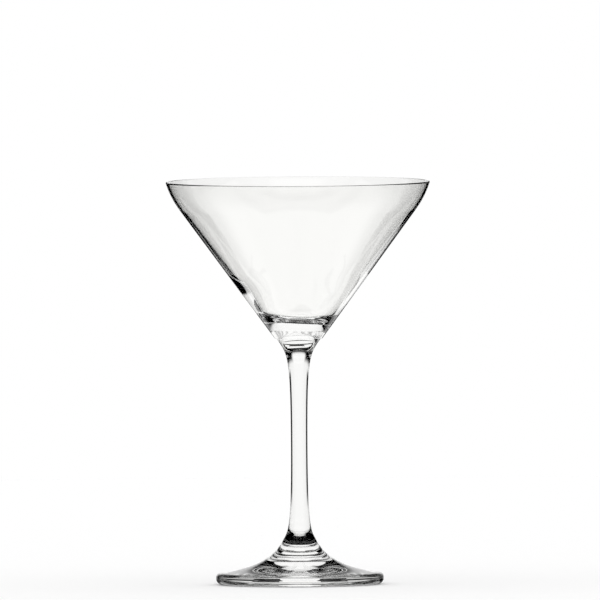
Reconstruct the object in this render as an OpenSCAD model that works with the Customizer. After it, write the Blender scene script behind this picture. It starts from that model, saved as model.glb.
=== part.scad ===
// Martini glass: a thin conical bowl on a slender waisted stem and a round foot.
// The three pieces are clear glass, shaped apart and then fused end to end while hot.
// Each piece turns about Z, and the foot stands on the table at Z = 0.

/* [Foot] */
// Diameter of the foot
foot_d = 70.7; // [60:0.1:84]
// Height of the foot, from the table to its seam with the stem
foot_h = 18.3; // [15:0.1:24]
// Height of the upright edge's upper end above the table
foot_edge_h = 3.4; // [2.6:0.1:5]
// Radius of the edge's upper corner
foot_edge_top_r = 1.3; // [0.6:0.1:2]
// Radius of the edge's lower corner
foot_edge_low_r = 2.4; // [1:0.1:2.5]
// Slope of the foot's top where it runs out to the edge, in degrees
foot_slope = 10; // [4:0.5:16]
// Length of the hollow curve that leaves the seam
foot_neck_sweep = 12.5; // [8:0.1:16]
// Length of the nearly flat curve that reaches the edge
foot_edge_sweep = 8; // [4:0.1:14]
// Width of the flat ring that touches the table
stand_ring_w = 1.4; // [0.8:0.1:4]
// Height of the hollow under the foot, at its middle
foot_hollow_h = 1.6; // [0.5:0.1:4]

/* [Stem] */
// Length of the stem between its two seams
stem_l = 85.4; // [65:0.1:110]
// Diameter of the seam between the stem and the foot
neck_d = 14.4; // [11:0.1:18]
// Diameter of the stem's waist
waist_d = 7; // [5:0.1:9]
// Height of the waist above the seam with the foot
waist_h = 39.7; // [30:0.1:50]
// Diameter of the seam between the stem and the bowl
stem_top_d = 18.7; // [14:0.1:24]
// Lean of the side at the seam with the foot, from upright, in degrees
neck_lean = 28; // [20:0.5:36]
// Length of the flare that leaves the seam with the foot
neck_flare = 5; // [3:0.1:8]
// Lean of the side at the seam with the bowl, from upright, in degrees
stem_top_lean = 34; // [26:0.5:40]
// Length of the flare that leaves the seam with the bowl
stem_top_flare = 8.5; // [5:0.1:12]
// Share of the lower run that stays near the waist's size
waist_hold_low = 0.9; // [0.6:0.01:0.95]
// Share of the upper run that stays near the waist's size
waist_hold_top = 0.86; // [0.6:0.01:0.95]

/* [Bowl] */
// Height of the bowl, from its seam with the stem to the rim
bowl_h = 66.3; // [55:0.1:80]
// Outer diameter of the rim
rim_d = 111.4; // [100:0.1:125]
// Thickness of the wall at the rim, which is fully rounded over
rim_wall = 1; // [0.8:0.05:1.6]
// Lean of the wall at the rim, from upright, in degrees
rim_lean = 18; // [10:0.5:26]
// Outer radius of the bend where the cone turns up to the rim
rim_bend_r = 40; // [20:0.5:50]
// Width of the small shoulder where the bowl stands out past the stem
shoulder_w = 0.7; // [0.4:0.05:1.2]
// Radius of the shoulder's edge
shoulder_r = 0.45; // [0.2:0.05:0.6]
// Thickness that the straight wall would have at the shoulder, square to its inner face
low_wall = 2.8; // [2:0.1:4]
// Thickness of the solid glass under the middle of the well, the bottom of the drink
well_floor = 7.6; // [5:0.1:11]
// Radius of the corner between the wall and the floor of the well
well_corner_r = 10.6; // [5:0.1:14]
// Radius of the well's floor, which is slightly dished
well_dish_r = 110; // [40:1:250]

/* [Hidden] */
// Facets of a full turn, and steps along each curve of an outline
$fn = 96;
curve_steps = 24;
bend_steps = 12;
corner_steps = 6;

// Heights of the two seams
neck_z = foot_h;
seat_z = neck_z + stem_l;

glass_tint = [0.93, 0.95, 0.95, 0.45];

// Points of an arc between two angles, both ends included
function arc(centre, r, from, to, steps) =
    [for (i = [0:steps]) let (a = from + (to - from) * i / steps) centre + r * [cos(a), sin(a)]];

// Points of a cubic curve with two handles, both ends included
function curve(start, start_handle, end_handle, end, steps) =
    [for (i = [0:steps]) let (t = i / steps, u = 1 - t)
        start * pow(u, 3) + start_handle * 3 * u * u * t + end_handle * 3 * u * t * t + end * pow(t, 3)];

// A list without its last point, so that two curves share one point where they join
function but_last(points) = [for (i = [0:len(points) - 2]) points[i]];

// Direction that leans out from upright by an angle, and the same turned to face outwards
function upward(lean) = [sin(lean), cos(lean)];
function outward(lean) = [cos(lean), -sin(lean)];

// Lean of the straight wall that touches two rounds, each to the right of its centre
function wall_lean(low, low_r, high, high_r) =
    let (run = high - low) atan2(run.x, run.y) + asin((high_r - low_r) / norm(run));

// Pressed foot: a shallow disc with a rounded edge, drawn up into a neck and hollow underneath
module foot() {
    edge_top = [foot_d / 2 - foot_edge_top_r, foot_edge_h];
    edge_low = [foot_d / 2 - foot_edge_low_r, foot_edge_low_r];
    neck = [neck_d / 2, foot_h];
    top_end = edge_top + foot_edge_top_r * [sin(foot_slope), cos(foot_slope)];
    top = curve(
        top_end,
        top_end + foot_edge_sweep * [-cos(foot_slope), sin(foot_slope)],
        neck + foot_neck_sweep * [sin(neck_lean), -cos(neck_lean)],
        neck,
        curve_steps
    );
    ring_inner_r = edge_low.x - stand_ring_w;
    hollow_half = 2 * atan(foot_hollow_h / ring_inner_r);
    hollow_r = ring_inner_r / sin(hollow_half);
    hollow = arc([0, foot_hollow_h - hollow_r], hollow_r, 90, 90 - hollow_half, bend_steps);
    color(glass_tint)
    rotate_extrude()
    polygon(concat(
        hollow,
        arc(edge_low, foot_edge_low_r, -90, 0, corner_steps),
        but_last(arc(edge_top, foot_edge_top_r, 0, 90 - foot_slope, corner_steps)),
        top,
        [[0, foot_h]]
    ));
}

// Drawn stem: slim at the waist, flaring to the foot and, more, to the bowl
module stem() {
    low = [neck_d / 2, neck_z];
    waist = [waist_d / 2, neck_z + waist_h];
    top = [stem_top_d / 2, seat_z];
    lower_side = curve(
        low,
        low + neck_flare * [-sin(neck_lean), cos(neck_lean)],
        waist - [0, waist_hold_low * waist_h],
        waist,
        curve_steps
    );
    upper_side = curve(
        waist,
        waist + [0, waist_hold_top * (stem_l - waist_h)],
        top - stem_top_flare * upward(stem_top_lean),
        top,
        curve_steps
    );
    color(glass_tint)
    rotate_extrude()
    polygon(concat([[0, neck_z]], but_last(lower_side), upper_side, [[0, seat_z]]));
}

// Blown bowl: its wall thickens from the rim down to the solid glass under the rounded well
module bowl() {
    lip_r = rim_wall / 2;
    base_corner = [stem_top_d / 2 + shoulder_w, seat_z];
    // The rim's bend and the lip share a line from the bend's centre
    lip = [rim_d / 2 - lip_r, seat_z + bowl_h - lip_r];
    bend = lip - (rim_bend_r - lip_r) * outward(rim_lean);
    inner_bend_r = rim_bend_r - rim_wall;
    outer_lean = wall_lean(base_corner, 0, bend, rim_bend_r);
    inner_lean = wall_lean(base_corner, -low_wall, bend, inner_bend_r);
    shoulder = base_corner + shoulder_r * [(sin(outer_lean) - 1) / cos(outer_lean), 1];
    // The well's corner touches the straight wall and, from inside, the dished floor
    dish = [0, seat_z + well_floor + well_dish_r];
    corner_line = base_corner - (low_wall + well_corner_r) * outward(inner_lean);
    from_dish = corner_line - dish;
    along = from_dish * upward(inner_lean);
    reach = well_dish_r - well_corner_r;
    corner_up = -along - sqrt(along * along - from_dish * from_dish + reach * reach);
    corner = corner_line + corner_up * upward(inner_lean);
    corner_end = atan2(corner.y - dish.y, corner.x);
    color(glass_tint)
    rotate_extrude()
    polygon(concat(
        [[0, seat_z]],
        arc(shoulder, shoulder_r, -90, -outer_lean, corner_steps),
        but_last(arc(bend, rim_bend_r, -outer_lean, -rim_lean, bend_steps)),
        but_last(arc(lip, lip_r, -rim_lean, 180 - rim_lean, bend_steps)),
        arc(bend, inner_bend_r, -rim_lean, -inner_lean, bend_steps),
        but_last(arc(corner, well_corner_r, -inner_lean, corner_end, bend_steps)),
        arc(dish, well_dish_r, corner_end, -90, corner_steps)
    ));
}

foot();
stem();
bowl();
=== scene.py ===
"""A martini glass: foot, stem and bowl of clear glass, fused end to end, on a white table."""

import math

import bpy
from mathutils import Matrix, Vector


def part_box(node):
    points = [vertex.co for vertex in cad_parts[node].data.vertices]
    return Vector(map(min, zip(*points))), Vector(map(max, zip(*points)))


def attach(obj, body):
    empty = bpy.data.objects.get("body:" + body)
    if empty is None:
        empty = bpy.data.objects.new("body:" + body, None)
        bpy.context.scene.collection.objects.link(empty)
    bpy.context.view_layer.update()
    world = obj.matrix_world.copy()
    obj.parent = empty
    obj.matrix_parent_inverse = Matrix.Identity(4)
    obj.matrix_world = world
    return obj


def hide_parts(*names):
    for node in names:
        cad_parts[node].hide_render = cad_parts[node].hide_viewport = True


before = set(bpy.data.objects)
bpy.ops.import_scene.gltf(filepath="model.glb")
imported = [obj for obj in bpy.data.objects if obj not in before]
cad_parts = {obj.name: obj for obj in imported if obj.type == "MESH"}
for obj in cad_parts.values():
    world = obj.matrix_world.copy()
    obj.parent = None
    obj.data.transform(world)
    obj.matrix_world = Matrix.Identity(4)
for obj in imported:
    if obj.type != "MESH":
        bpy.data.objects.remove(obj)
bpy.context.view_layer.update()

# The foot: a shallow disc of clear glass, pressed while hot and drawn up into a neck.
# Fire has rounded its edge, and a slight hollow underneath leaves only a narrow ring
# on the table. Its neck is fused to the stem, so the two are one glass where they meet.

MM = 0.001
_, foot_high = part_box("foot")
foot_r = foot_high.x
foot_top = foot_high.z
neck_r = 7.2 * MM
neck_lean = math.radians(28)
foot_edge_h = 3.4 * MM
foot_edge_top_r = 1.3 * MM
foot_edge_low_r = 2.4 * MM
foot_slope = math.radians(10)
foot_neck_sweep = 12.5 * MM
foot_edge_sweep = 8 * MM
stand_ring_w = 1.4 * MM
foot_hollow_h = 1.6 * MM
foot_facets = 192
foot_hollow_steps = 40
foot_flat_steps = 4
foot_edge_steps = 24
foot_top_steps = 90
pole_gap = 1e-6
seam_share = 0.9
sharp_angle = math.radians(30)
glass_ior = 1.52
glass_tint = (1.0, 1.0, 0.99, 1.0)
ripple_size = 30 * MM
ripple_h = 0.01 * MM
wiping_scale = 180
wiping_haze = 0.02


def line(start, end, steps):
    """Points from start to end, without the end, where the next stretch begins."""
    return [start.lerp(end, i / steps) for i in range(steps)]


def arc(centre, radius, start, end, steps):
    """Points of an arc between two angles in degrees, without its end."""
    angles = [math.radians(start + (end - start) * i / steps) for i in range(steps)]
    return [centre + radius * Vector((math.cos(a), math.sin(a))) for a in angles]


def sweep(start, start_handle, end_handle, end, steps):
    """Points of a cubic curve with two handles, without its end."""
    points = []
    for i in range(steps):
        t = i / steps
        u = 1 - t
        near = start * u ** 3 + start_handle * 3 * u * u * t
        points.append(near + end_handle * 3 * u * t * t + end * t ** 3)
    return points


class Wire:
    """One output of a node. Arithmetic on it adds Math nodes to its tree."""

    def __init__(self, tree, socket=None):
        self.tree = tree
        self.socket = socket

    def node(self, kind, settings=None, inputs=None, output=0):
        """A new node with its settings and inputs, as the wire of one of its outputs."""
        made = self.tree.nodes.new(kind)
        for name, value in (settings or {}).items():
            setattr(made, name, value)
        for name, value in (inputs or {}).items():
            if isinstance(value, Wire):
                self.tree.links.new(value.socket, made.inputs[name])
            else:
                made.inputs[name].default_value = value
        return Wire(self.tree, made.outputs[output] if made.outputs else None)

    def other(self, output):
        """Another output of the same node."""
        return Wire(self.tree, self.socket.node.outputs[output])

    def math(self, operation, *values):
        """A Math node that works on wires and plain numbers."""
        return self.node("ShaderNodeMath", {"operation": operation}, dict(enumerate(values)))

    def __add__(self, value):
        return self.math("ADD", self, value)

    def __sub__(self, value):
        return self.math("SUBTRACT", self, value)

    def __rsub__(self, value):
        return self.math("SUBTRACT", value, self)

    def __mul__(self, value):
        return self.math("MULTIPLY", self, value)

    def __gt__(self, value):
        return self.math("GREATER_THAN", self, value)

    __radd__ = __add__
    __rmul__ = __mul__


def turning_tree():
    """Geometry nodes that turn an outline in the XZ plane about Z into a closed body of glass."""
    tree = bpy.data.node_groups.new("turn_outline", "GeometryNodeTree")
    sockets = tree.interface
    sockets.new_socket("Outline", in_out="INPUT", socket_type="NodeSocketGeometry")
    sockets.new_socket("Facets", in_out="INPUT", socket_type="NodeSocketInt")
    sockets.new_socket("Turning radius", in_out="INPUT", socket_type="NodeSocketFloat")
    sockets.new_socket("Hollow shift", in_out="INPUT", socket_type="NodeSocketVector")
    sockets.new_socket("Hollow pivot", in_out="INPUT", socket_type="NodeSocketVector")
    sockets.new_socket("Hollow lean", in_out="INPUT", socket_type="NodeSocketVector")
    sockets.new_socket("Glass", in_out="INPUT", socket_type="NodeSocketMaterial")
    sockets.new_socket("Seam", in_out="INPUT", socket_type="NodeSocketMaterial")
    sockets.new_socket("Body", in_out="OUTPUT", socket_type="NodeSocketGeometry")
    given = Wire(tree).node("NodeGroupInput", output="Outline")
    turning_r = given.other("Turning radius")

    # The outline becomes the section that a circle of the turning radius carries round
    string = given.node("GeometryNodeMeshToCurve", inputs={"Mesh": given})
    place = given.node("GeometryNodeInputPosition")
    across = given.node("ShaderNodeSeparateXYZ", inputs={0: place}, output="X")
    section_at = given.node(
        "ShaderNodeCombineXYZ", inputs={"X": across - turning_r, "Y": 0 - across.other("Z")}
    )
    section = given.node(
        "GeometryNodeSetPosition", inputs={"Geometry": string, "Position": section_at}
    )
    circle = given.node(
        "GeometryNodeCurvePrimitiveCircle",
        inputs={"Resolution": given.other("Facets"), "Radius": turning_r},
    )
    body = given.node(
        "GeometryNodeCurveToMesh", inputs={"Curve": circle, "Profile Curve": section}
    )
    body = given.node("GeometryNodeFlipFaces", inputs={"Mesh": body})
    body = given.node(
        "GeometryNodeMergeByDistance", inputs={"Geometry": body, "Distance": pole_gap}
    )

    # A blown hollow sits a little off the axis: it leans about its pivot, and shifts
    hollow = given.node(
        "GeometryNodeInputNamedAttribute", {"data_type": "FLOAT"}, {"Name": "hollow"}
    )
    leant = given.node(
        "ShaderNodeVectorRotate",
        {"rotation_type": "EULER_XYZ"},
        {
            "Vector": place,
            "Center": given.other("Hollow pivot"),
            "Rotation": given.other("Hollow lean"),
        },
    )
    moved = given.node(
        "ShaderNodeVectorMath", {"operation": "ADD"}, {0: leant, 1: given.other("Hollow shift")}
    )
    # The Mix node's vectors are its inputs 4 and 5 and its output 1
    off_centre = given.node(
        "ShaderNodeMix",
        {"data_type": "VECTOR"},
        {"Factor": hollow, 4: place, 5: moved},
        output=1,
    )
    body = given.node(
        "GeometryNodeSetPosition", inputs={"Geometry": body, "Position": off_centre}
    )
    body = given.node("GeometryNodeSetShadeSmooth", inputs={"Geometry": body})
    body = given.node("GeometryNodeRealizeInstances", inputs={"Geometry": body})
    body = given.node(
        "GeometryNodeSetMaterial", inputs={"Geometry": body, "Material": given.other("Glass")}
    )
    seam = given.node(
        "GeometryNodeInputNamedAttribute", {"data_type": "FLOAT"}, {"Name": "seam"}
    )
    body = given.node(
        "GeometryNodeSetMaterial",
        inputs={"Geometry": body, "Selection": seam > seam_share, "Material": given.other("Seam")},
    )
    given.node("NodeGroupOutput", inputs={"Body": body})
    return tree


def turned(name, outline, sizes):
    """A piece turned from an outline of rows: the point, its share of seam, its share of hollow."""
    string = bpy.data.meshes.new(name + "_outline")
    ends = [(i, i + 1) for i in range(len(outline) - 1)]
    string.from_pydata([(point.x, 0, point.y) for point, _, _ in outline], ends, [])
    for column, label in ((1, "seam"), (2, "hollow")):
        string.attributes.new(label, "FLOAT", "POINT")
        string.attributes[label].data.foreach_set("value", [row[column] for row in outline])
    piece = bpy.data.objects.new(name, string)
    bpy.context.collection.objects.link(piece)
    modifier = piece.modifiers.new("turn", "NODES")
    modifier.node_group = turning
    for item in turning.interface.items_tree:
        if item.in_out == "INPUT" and item.name in sizes:
            modifier[item.identifier] = sizes[item.name]
    evaluated = piece.evaluated_get(bpy.context.evaluated_depsgraph_get())
    mesh = bpy.data.meshes.new_from_object(evaluated)
    piece.modifiers.clear()
    piece.data = mesh
    mesh.name = name
    mesh.set_sharp_from_angle(angle=sharp_angle)
    return piece


def empty_material(name):
    """A material without nodes, and a wire to start its tree from."""
    material = bpy.data.materials.new(name)
    material.use_nodes = True
    material.node_tree.nodes.clear()
    return material, Wire(material.node_tree)


def clear_glass(name, ripple_w):
    """Clear soda glass with the faint ripple of its making and a trace of wiping."""
    material, glass = empty_material(name)
    place = glass.node("ShaderNodeTexCoord", output="Object")
    ripple = glass.node(
        "ShaderNodeTexNoise", inputs={"Vector": place, "Scale": 1 / ripple_w, "Detail": 1.0}
    )
    wiping = glass.node(
        "ShaderNodeTexNoise", inputs={"Vector": place, "Scale": wiping_scale, "Detail": 4.0}
    )
    surface = glass.node(
        "ShaderNodeBump", inputs={"Height": ripple, "Distance": ripple_h, "Strength": 1.0}
    )
    shader = glass.node(
        "ShaderNodeBsdfPrincipled",
        inputs={
            "Base Color": glass_tint,
            "Roughness": wiping_haze * wiping,
            "IOR": glass_ior,
            "Transmission Weight": 1.0,
            "Normal": surface,
        },
    )
    glass.node("ShaderNodeOutputMaterial", inputs={"Surface": shader})
    return material


def fused_seam():
    """The place where two pieces are melted together: nothing is there for light to meet."""
    material = bpy.data.materials.new("fused_seam")
    material.use_nodes = True
    shader = material.node_tree.nodes["Principled BSDF"]
    shader.inputs["Alpha"].default_value = 0.0
    return material


turning = turning_tree()
seam_material = fused_seam()

edge_top = Vector((foot_r - foot_edge_top_r, foot_edge_h))
edge_low = Vector((foot_r - foot_edge_low_r, foot_edge_low_r))
neck = Vector((neck_r, foot_top))
away = Vector((math.sin(neck_lean), -math.cos(neck_lean)))
slope_in = Vector((-math.cos(foot_slope), math.sin(foot_slope)))
top_end = edge_top + foot_edge_top_r * Vector((math.sin(foot_slope), math.cos(foot_slope)))
ring_inner_r = edge_low.x - stand_ring_w
hollow_half = 2 * math.atan(foot_hollow_h / ring_inner_r)
hollow_r = ring_inner_r / math.sin(hollow_half)
hollow_centre = Vector((0, foot_hollow_h - hollow_r))
foot_surface = (
    arc(hollow_centre, hollow_r, 90, 90 - math.degrees(hollow_half), foot_hollow_steps)
    + line(Vector((ring_inner_r, 0)), Vector((edge_low.x, 0)), foot_flat_steps)
    + arc(edge_low, foot_edge_low_r, -90, 0, foot_edge_steps)
    + line(Vector((foot_r, edge_low.y)), Vector((foot_r, edge_top.y)), foot_flat_steps)
    + arc(edge_top, foot_edge_top_r, 0, 90 - math.degrees(foot_slope), foot_edge_steps)
    + sweep(
        top_end,
        top_end + foot_edge_sweep * slope_in,
        neck + foot_neck_sweep * away,
        neck,
        foot_top_steps,
    )
)
foot_outline = [(point, 0, 0) for point in foot_surface]
foot_outline += [(neck, 1, 0), (Vector((0, foot_top)), 1, 0)]
pressed_glass = clear_glass("pressed_glass", ripple_size)
foot = turned(
    "pressed_foot",
    foot_outline,
    {
        "Facets": foot_facets,
        "Turning radius": foot_r,
        "Glass": pressed_glass,
        "Seam": seam_material,
    },
)
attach(foot, "root")
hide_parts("foot")

# The stem: one rod of clear glass, drawn out hot from the bowl so that it is slimmest at
# its waist. It flares down to the neck of the foot and, more, up to the seat of the bowl,
# and both ends are fused.

stem_low, stem_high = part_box("stem")
stem_bottom = stem_low.z
seat_z = stem_high.z
stem_top_r = 9.35 * MM
waist_r = 3.5 * MM
waist_h = 39.7 * MM
neck_flare = 5 * MM
stem_top_lean = math.radians(34)
stem_top_flare = 8.5 * MM
waist_hold_low = 0.9
waist_hold_top = 0.86
stem_facets = 160
lower_stem_steps = 80
upper_stem_steps = 100

stem_foot_end = Vector((neck_r, stem_bottom))
waist = Vector((waist_r, stem_bottom + waist_h))
stem_top = Vector((stem_top_r, seat_z))
upper_run = seat_z - waist.y
stem_surface = sweep(
    stem_foot_end,
    stem_foot_end - neck_flare * away,
    waist - Vector((0, waist_hold_low * waist_h)),
    waist,
    lower_stem_steps,
) + sweep(
    waist,
    waist + Vector((0, waist_hold_top * upper_run)),
    stem_top - stem_top_flare * Vector((math.sin(stem_top_lean), math.cos(stem_top_lean))),
    stem_top,
    upper_stem_steps,
)
stem_outline = [(Vector((0, stem_bottom)), 1, 0), (stem_foot_end, 1, 0)]
stem_outline += [(point, 0, 0) for point in stem_surface[1:]]
stem_outline += [(stem_top, 1, 0), (Vector((0, seat_z)), 1, 0)]
drawn_glass = clear_glass("drawn_glass", ripple_size)
stem = turned(
    "drawn_stem",
    stem_outline,
    {
        "Facets": stem_facets,
        "Turning radius": stem_top_r,
        "Glass": drawn_glass,
        "Seam": seam_material,
    },
)
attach(stem, "root")
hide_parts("stem")

# The bowl: a thin cone of clear blown glass that turns up a little at its fire-rounded rim.
# Its wall thickens downwards to the solid glass under the rounded well, and a small
# shoulder stands out where it is fused to the stem. The hollow sits a touch off the axis.

_, bowl_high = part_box("bowl")
rim_r = bowl_high.x
rim_z = bowl_high.z
rim_wall = 1 * MM
rim_lean = 18
rim_bend_r = 40 * MM
shoulder_w = 0.7 * MM
shoulder_r = 0.45 * MM
low_wall = 2.8 * MM
well_floor = 7.6 * MM
well_corner_r = 10.6 * MM
well_dish_r = 110 * MM
hollow_steady_h = 10 * MM
hollow_free_h = 28 * MM
hollow_pivot_h = 8 * MM
hollow_shift = Vector((-0.5 * MM, 0, 0))
hollow_lean = math.radians(3.5)
bowl_facets = 256
seat_steps = 3
shoulder_steps = 12
wall_steps = 60
bend_steps = 40
lip_steps = 32
well_corner_steps = 40
dish_steps = 30
bowl_ripple_size = 40 * MM


def wall_lean(low, low_r, high, high_r):
    """Lean from upright, in degrees, of the wall that touches two rounds on their right."""
    run = high - low
    return math.degrees(math.atan2(run.x, run.y) + math.asin((high_r - low_r) / run.length))


def upward(lean):
    """Direction that leans out from upright by an angle in degrees."""
    return Vector((math.sin(math.radians(lean)), math.cos(math.radians(lean))))


def outward(lean):
    """The same direction turned to face out of the wall."""
    return Vector((math.cos(math.radians(lean)), -math.sin(math.radians(lean))))


lip_r = rim_wall / 2
lip = Vector((rim_r - lip_r, rim_z - lip_r))
bend = lip - (rim_bend_r - lip_r) * outward(rim_lean)
base_corner = Vector((stem_top_r + shoulder_w, seat_z))
outer_lean = wall_lean(base_corner, 0, bend, rim_bend_r)
inner_bend_r = rim_bend_r - rim_wall
inner_lean = wall_lean(base_corner, -low_wall, bend, inner_bend_r)
well = Vector((0, seat_z + well_floor))
dish = well + Vector((0, well_dish_r))
# The well's corner is round: it touches the straight wall and the dished floor
corner_run = base_corner - (low_wall + well_corner_r) * outward(inner_lean)
from_dish = corner_run - dish
along = from_dish.dot(upward(inner_lean))
reach = well_dish_r - well_corner_r
corner_up = -along - math.sqrt(along ** 2 - from_dish.length_squared + reach ** 2)
corner = corner_run + corner_up * upward(inner_lean)
corner_end = math.degrees(math.atan2(corner.y - dish.y, corner.x))
shoulder_in = (1 - math.sin(math.radians(outer_lean))) / math.cos(math.radians(outer_lean))
shoulder = base_corner + shoulder_r * Vector((-shoulder_in, 1))
outer_wall_low = shoulder + shoulder_r * outward(outer_lean)
outer_wall_high = bend + rim_bend_r * outward(outer_lean)
inner_wall_low = corner + well_corner_r * outward(inner_lean)
inner_wall_high = bend + inner_bend_r * outward(inner_lean)
bowl_outside = (
    line(stem_top, Vector((shoulder.x, seat_z)), seat_steps)
    + arc(shoulder, shoulder_r, -90, -outer_lean, shoulder_steps)
    + line(outer_wall_low, outer_wall_high, wall_steps)
    + arc(bend, rim_bend_r, -outer_lean, -rim_lean, bend_steps)
    + arc(lip, lip_r, -rim_lean, 180 - rim_lean, lip_steps)
    + arc(bend, inner_bend_r, -rim_lean, -inner_lean, bend_steps)
)
bowl_inside = (
    line(inner_wall_high, inner_wall_low, wall_steps)
    + arc(corner, well_corner_r, -inner_lean, corner_end, well_corner_steps)
    + arc(dish, well_dish_r, corner_end, -90, dish_steps)
)


def hollow_share(height):
    """How far a point of the inside follows the hollow: not near the rim, fully in the well."""
    share = min(1, max(0, seat_z + hollow_free_h - height) / (hollow_free_h - hollow_steady_h))
    return share * share * (3 - 2 * share)


bowl_outline = [(Vector((0, seat_z)), 1, 0), (stem_top, 1, 0)]
bowl_outline += [(point, 0, 0) for point in bowl_outside[1:]]
bowl_outline += [(point, 0, hollow_share(point.y)) for point in bowl_inside]
bowl_outline += [(well, 0, 1)]
blown_glass = clear_glass("blown_glass", bowl_ripple_size)
bowl = turned(
    "blown_bowl",
    bowl_outline,
    {
        "Facets": bowl_facets,
        "Turning radius": rim_r,
        "Hollow shift": hollow_shift,
        "Hollow pivot": Vector((0, 0, seat_z + hollow_pivot_h)),
        "Hollow lean": Vector((0, hollow_lean, 0)),
        "Glass": blown_glass,
        "Seam": seam_material,
    },
)
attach(bowl, "root")
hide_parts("bowl")

# The table: a wide white board, evenly lit, on which the glass leaves only a soft trace
# of shadow. Its own glow fills what the board's white paint takes away. For light that the
# glass has turned it is painted black, as painted shade, under the foot, far behind it and
# below the well, so that it shows where the glass turns the view.

board_r = 1.2
board_facets = 128
board_gap = 0.2 * MM
board_white = 0.85
# Where the board is painted black, as painted shade, for light turned inside the glass
painted_shadow_r = 20 * MM
far_start = 60 * MM
far_end = 190 * MM
far_half_w = 90 * MM
well_view_min = 80 * MM
well_view_max = 119 * MM
black = (0, 0, 0, 1)
# Glossy Depth counts a ray's turns, so half of one tells none from some
any_turn = 0.5


def brightest(first, *others):
    """The largest of several values."""
    for other in others:
        first = first.math("MAXIMUM", first, other)
    return first


def between(value, low, high):
    """One where a value lies between two bounds, none elsewhere."""
    return (value > low) * (high - value > 0)


def turned_inside(ray):
    """One for a ray that a face of the glass has turned round inside it, none for others."""
    return (ray.other("Glossy Depth") > any_turn) * ray.other("Is Transmission Ray")


bpy.ops.mesh.primitive_circle_add(vertices=board_facets, radius=board_r, fill_type="NGON")
board = bpy.context.object
board.name = "white_board"
board.data.transform(Matrix.Translation((0, 0, -board_gap)))
board_paint, paint = empty_material("board_paint")
path = paint.node("ShaderNodeLightPath", output="Is Camera Ray")
seen_in_glass = brightest(path.other("Is Glossy Ray"), path.other("Is Transmission Ray"))
white = paint.node("ShaderNodeBsdfDiffuse", inputs={"Color": (board_white,) * 3 + (1,)})
glow = paint.node("ShaderNodeEmission", inputs={"Strength": (1 - board_white) * path})
shown = paint.node("ShaderNodeAddShader", inputs={0: white, 1: glow})
place = paint.node("ShaderNodeTexCoord", output="Object")
from_axis = paint.node("ShaderNodeVectorMath", {"operation": "LENGTH"}, {0: place}, output="Value")
behind_y = paint.node("ShaderNodeSeparateXYZ", inputs={0: place}, output="Y")
aside_x = behind_y.math("ABSOLUTE", behind_y.other("X"))
far_back = between(behind_y, far_start, far_end) * (far_half_w - aside_x > 0)
under_well = between(path.other("Ray Length"), well_view_min, well_view_max)
# Painted shade: black for light turned inside the glass, under the foot, far behind it and below the
# well
painted_dark_mask = turned_inside(path) * brightest(painted_shadow_r - from_axis > 0, far_back, under_well)
clear = paint.node("ShaderNodeBsdfTransparent")
painted_black = paint.node("ShaderNodeBsdfDiffuse", inputs={"Color": black})
below = paint.node("ShaderNodeMixShader", inputs={0: painted_dark_mask, 1: clear, 2: painted_black})
board_shader = paint.node("ShaderNodeMixShader", inputs={0: seen_in_glass, 1: shown, 2: below})
paint.node("ShaderNodeOutputMaterial", inputs={"Surface": board_shader})
board.data.materials.append(board_paint)

# The flags: black sheets close behind the glass, beside the picture, that are seen only in
# it: painted dark reflections that draw its dark edges. Only light that a face of the glass
# has turned meets them and, above the low ones, light that its outside mirrors.

flag_distance = 80 * MM
mirror_low = 64 * MM
flag_corners_mm = {
    "left_flag": [(-150, 66), (-64, 66), (-50, 88), (-44, 104), (-57, 128), (-57, 180), (-150, 180)],
    "right_flag": [(74, 66), (150, 66), (150, 180), (57, 180), (57, 125), (74, 125)],
    "low_left_flag": [(-150, 2), (-19, 2), (-19, 62), (-150, 62)],
    "low_right_flag": [(19, 2), (150, 2), (150, 62), (19, 62)],
}


def painted_dark_material(name, rays):
    """A painted dark reflection: black for the rays that a function picks, and not there for the
    others.
    """
    material, dark_paint = empty_material(name)
    ray = dark_paint.node("ShaderNodeLightPath", output="Glossy Depth")
    place = dark_paint.node("ShaderNodeTexCoord", output="Object")
    across = dark_paint.node("ShaderNodeSeparateXYZ", inputs={0: place}, output="X")
    dark = dark_paint.node("ShaderNodeBsdfDiffuse", inputs={"Color": black})
    unseen = dark_paint.node("ShaderNodeBsdfTransparent")
    shader = dark_paint.node("ShaderNodeMixShader", inputs={0: rays(ray, across), 1: unseen, 2: dark})
    dark_paint.node("ShaderNodeOutputMaterial", inputs={"Surface": shader})
    return material


def studio_sheet(name, corners, faces, dark_paint):
    """A sheet that belongs to the studio, not to the glass, and shows only in the glass as painted
    dark.
    """
    mesh = bpy.data.meshes.new(name)
    mesh.from_pydata(corners, [], faces)
    mesh.materials.append(dark_paint)
    sheet = bpy.data.objects.new(name, mesh)
    bpy.context.collection.objects.link(sheet)


def flag_rays(ray, across):
    """Light turned inside the glass and, high up, light mirrored by its outside."""
    mirrored_ray = ray.other("Is Glossy Ray") * (1 - ray.other("Is Transmission Ray"))
    high_up = across.other("Z") > mirror_low
    return brightest(turned_inside(ray), high_up * mirrored_ray)


# Painted dark reflection: the flags are black only for light seen in the glass
flag_painted_dark = painted_dark_material("flag_painted_dark", flag_rays)
for name, corners_mm in flag_corners_mm.items():
    corners = [(x * MM, flag_distance, z * MM) for x, z in corners_mm]
    studio_sheet(name, corners, [range(len(corners))], flag_painted_dark)

# The foot's cards: two narrow black strips that stand in line with the flags and are seen
# only in the glass. As painted dark they darken the foot's upright edge on both sides of its
# bright middle, so only light that goes straight through the foot and has just left it meets them.

card_in = 5.2 * MM
card_out = 16 * MM
card_high = 45 * MM
card_view_max = 60 * MM


def card_rays(ray, across):
    """Light straight through the glass that has come no further than from the foot."""
    straight_ray = (1 - (ray > any_turn)) * ray.other("Is Transmission Ray")
    return straight_ray * (card_view_max - ray.other("Ray Length") > 0)


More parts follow.
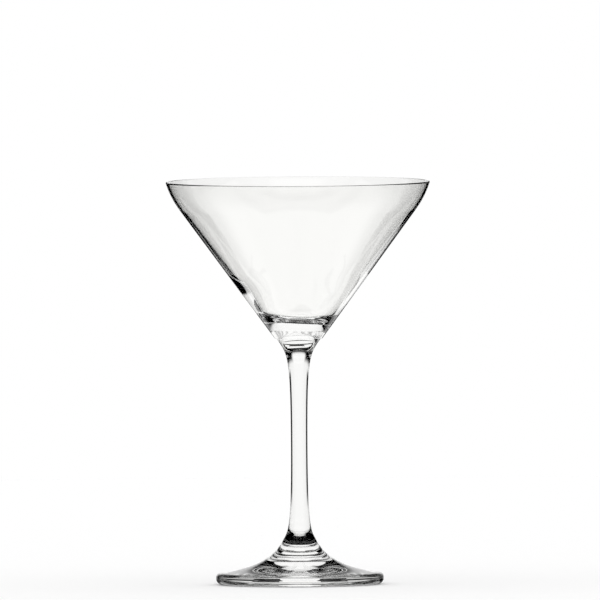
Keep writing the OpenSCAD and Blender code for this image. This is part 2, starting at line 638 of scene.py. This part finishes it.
# Painted dark: the cards are black only for light straight through the foot
card_painted_dark = painted_dark_material("card_painted_dark", card_rays)
for name, side in (("left_foot_card", -1), ("right_foot_card", 1)):
    card_foot = [(side * x, flag_distance, 0) for x in (card_in, card_out)]
    card_head = [(side * x, flag_distance, card_high) for x in (card_out, card_in)]
    studio_sheet(name, card_foot + card_head, [range(4)], card_painted_dark)

# The collar: a black curtain round the front and the sides of the bowl, seen only in the glass.
# As painted dark it makes the ends of the well dark, so only turned light of that reach meets
# it, and the thin wall of the bowl stays clear.

collar_reach = 75 * MM
collar_back = 60 * MM
collar_low = 125 * MM
collar_high = 235 * MM
collar_view_min = 66 * MM
collar_view_max = 132 * MM


def collar_rays(ray, across):
    """Light turned at the ends of the well."""
    return turned_inside(ray) * between(ray.other("Ray Length"), collar_view_min, collar_view_max)


collar_line = [
    (collar_reach, collar_back),
    (collar_reach, -collar_reach),
    (-collar_reach, -collar_reach),
    (-collar_reach, collar_back),
]
collar_corners = [(x, y, z) for z in (collar_low, collar_high) for x, y in collar_line]
collar_faces = [(i, i + 1, i + 5, i + 4) for i in range(3)]
# Painted dark: the collar is black only for light turned at the ends of the well
collar_painted_dark = painted_dark_material("collar_painted_dark", collar_rays)
studio_sheet("dark_collar", collar_corners, collar_faces, collar_painted_dark)

# The slats: long black strips above the glass, seen only in it. They paint the dark ring of
# the solid glass under the well and the lines at its seat, so only light that was turned there
# meets them. They bend a little, and the two at the back are painted only partly dark.

slats_z = 200 * MM
slats_half_w = 150 * MM
slats_front = -150 * MM
slats_back = 280 * MM
slat_bend = 8
slat_view_min = 85 * MM
slat_view_max = 252 * MM
slats = [(4.5 * MM, 9.5 * MM), (20.2 * MM, 22.2 * MM)]
back_slats = [(68 * MM, 104 * MM), (215 * MM, 265 * MM)]
back_slat_dark_share = 0.65
front_slat = -18.5 * MM
front_slat_bend = 3


def slat_rays(ray, across):
    """Light turned under the well or at the seat that goes up to a slat."""
    lane = across.other("Y") - slat_bend * across * across
    front_lane = across.other("Y") - front_slat_bend * across * across
    covered = front_slat - front_lane > 0
    for start, end in slats:
        covered = covered + between(lane, start, end)
    for start, end in back_slats:
        covered = covered + back_slat_dark_share * between(lane, start, end)
    in_view = between(ray.other("Ray Length"), slat_view_min, slat_view_max)
    return covered * turned_inside(ray) * in_view


slat_corners = [
    (-slats_half_w, slats_front, slats_z),
    (slats_half_w, slats_front, slats_z),
    (slats_half_w, slats_back, slats_z),
    (-slats_half_w, slats_back, slats_z),
]
# Painted dark: the slats are black only for light turned under the well or at the seat
slat_painted_dark = painted_dark_material("slat_painted_dark", slat_rays)
studio_sheet("overhead_slats", slat_corners, [range(4)], slat_painted_dark)

# The light: a white room for the table and the view. Through the glass a white screen shows
# behind it, a white cloth overhead and the bright table, and dark sides draw its edges.
# Light that has turned round inside the glass comes from a narrower screen.

world = bpy.data.worlds.new("white_room")
world.use_nodes = True
world.node_tree.nodes.clear()
bpy.context.scene.world = world
room = Wire(world.node_tree)
facing = room.node("ShaderNodeTexCoord", output="Generated")
east = room.node("ShaderNodeSeparateXYZ", inputs={0: facing}, output="X")
north = east.other("Y")
bearing = room.math("ARCTAN2", east, north)
bearing = bearing.math("ABSOLUTE", bearing)
height = room.math("ARCSINE", east.other("Z"))
depth = -1 * height


def fade(value, start, end):
    """One before the start angle, none past the end angle, both in degrees."""
    return value.node(
        "ShaderNodeMapRange",
        {"interpolation_type": "SMOOTHSTEP"},
        {
            "Value": value,
            "From Min": math.radians(start),
            "From Max": math.radians(end),
            "To Min": 1.0,
            "To Max": 0.0,
        },
    )


def step(value, start, end):
    """None before the start, one past the end."""
    return value.node(
        "ShaderNodeMapRange",
        {"interpolation_type": "SMOOTHSTEP"},
        {"Value": value, "From Min": start, "From Max": end},
    )


# Straight through the glass: white all round, but for low dark sides and a dark ceiling
dark_side = (1 - fade(bearing, 40, 50)) * fade(bearing, 75, 88)
dark_side = dark_side * fade(depth, 4, 8) * fade(height, 4, 8)
tall_screen = fade(bearing, 18, 30) * fade(height, 22, 40)
straight = (1 - dark_side) * brightest(fade(height, 8, 18), tall_screen)
# After a turn inside the glass: the middle of the screen, the cloth and the table in front
behind = fade(bearing, 32, 46) * fade(height, 18, 35) * fade(depth, 28, 44)
slit = fade(bearing, 10, 18) * fade(height, 30, 40) * fade(depth, 45, 60)
lamp = (1 - fade(height, 24, 34)) * step(north, -0.47, -0.36)
sideways = east.math("ABSOLUTE", east)
low_side = fade(bearing, 60, 74) * (1 - fade(height, 10, 22))
sides = step(sideways, 0.46, 0.58) * low_side
table_in_front = (1 - fade(depth, 24, 42)) * (1 - fade(bearing, 34, 50))
table_in_front = table_in_front * fade(bearing, 105, 120)
in_front = (1 - fade(bearing, 145, 160)) * (1 - fade(height, 30, 38)) * fade(height, 52, 60)
straight_down = 1 - fade(depth, 66, 74)
turned_light = brightest(behind, slit, lamp, sides, table_in_front, in_front, straight_down)
# Mirrored by an outer face: the bright table, the cloth and a strip of the screen
table_round = 1 - fade(depth, 42, 62)
overhead = (1 - fade(height, 36, 48)) * fade(bearing, 60, 100)
strip = fade(bearing, 12, 25) * (1 - fade(height, -4, 0)) * fade(height, 12, 20)
front_share = 0.8
front = front_share * (1 - fade(bearing, 110, 140)) * fade(height, 46, 54)
low_front = fade(bearing, 35, 45) * (1 - fade(depth, 12, 18)) * fade(depth, 30, 40)
mirrored = brightest(table_round, overhead, strip, front, low_front)

path = room.node("ShaderNodeLightPath", output="Is Glossy Ray")
through = path.other("Is Transmission Ray")
mirror = path * (1 - through)
turned_round = path.other("Glossy Depth") > any_turn
seen_through = straight * (1 - turned_round) + turned_light * turned_round
in_glass = brightest(path, through)
room_light = (1 - in_glass) + mirror * mirrored + through * seen_through
sky = room.node("ShaderNodeBackground", inputs={"Color": (1, 1, 1, 1), "Strength": room_light})
room.node("ShaderNodeOutputWorld", inputs={"Surface": sky})

# The camera: so far off that its view has no perspective. It looks down a little on the
# foot and the rim, and leans to one side by a third of a degree.

pixel = 0.422 * MM
frame_px = 600
foot_px = Vector((300.0, 583.9))
view_down = math.radians(2.15)
view_roll = math.radians(-0.327)
camera_distance = 0.6
camera = bpy.data.objects.new("camera", bpy.data.cameras.new("camera"))
bpy.context.collection.objects.link(camera)
camera.data.type = "ORTHO"
camera.data.ortho_scale = frame_px * pixel
turn = Matrix.Rotation(math.radians(90) - view_down, 4, "X") @ Matrix.Rotation(view_roll, 4, "Z")
centre_px = Vector((frame_px / 2, frame_px / 2))
aside = (centre_px.x - foot_px.x) * pixel
above = (foot_px.y - centre_px.y) * pixel
camera.matrix_world = turn @ Matrix.Translation((aside, above, camera_distance))
bpy.context.scene.camera = camera

scene = bpy.context.scene
scene.view_settings.view_transform = "Standard"
glass_bounces = 40
scene.cycles.max_bounces = glass_bounces
scene.cycles.transmission_bounces = glass_bounces
scene.cycles.glossy_bounces = glass_bounces
scene.cycles.transparent_max_bounces = glass_bounces
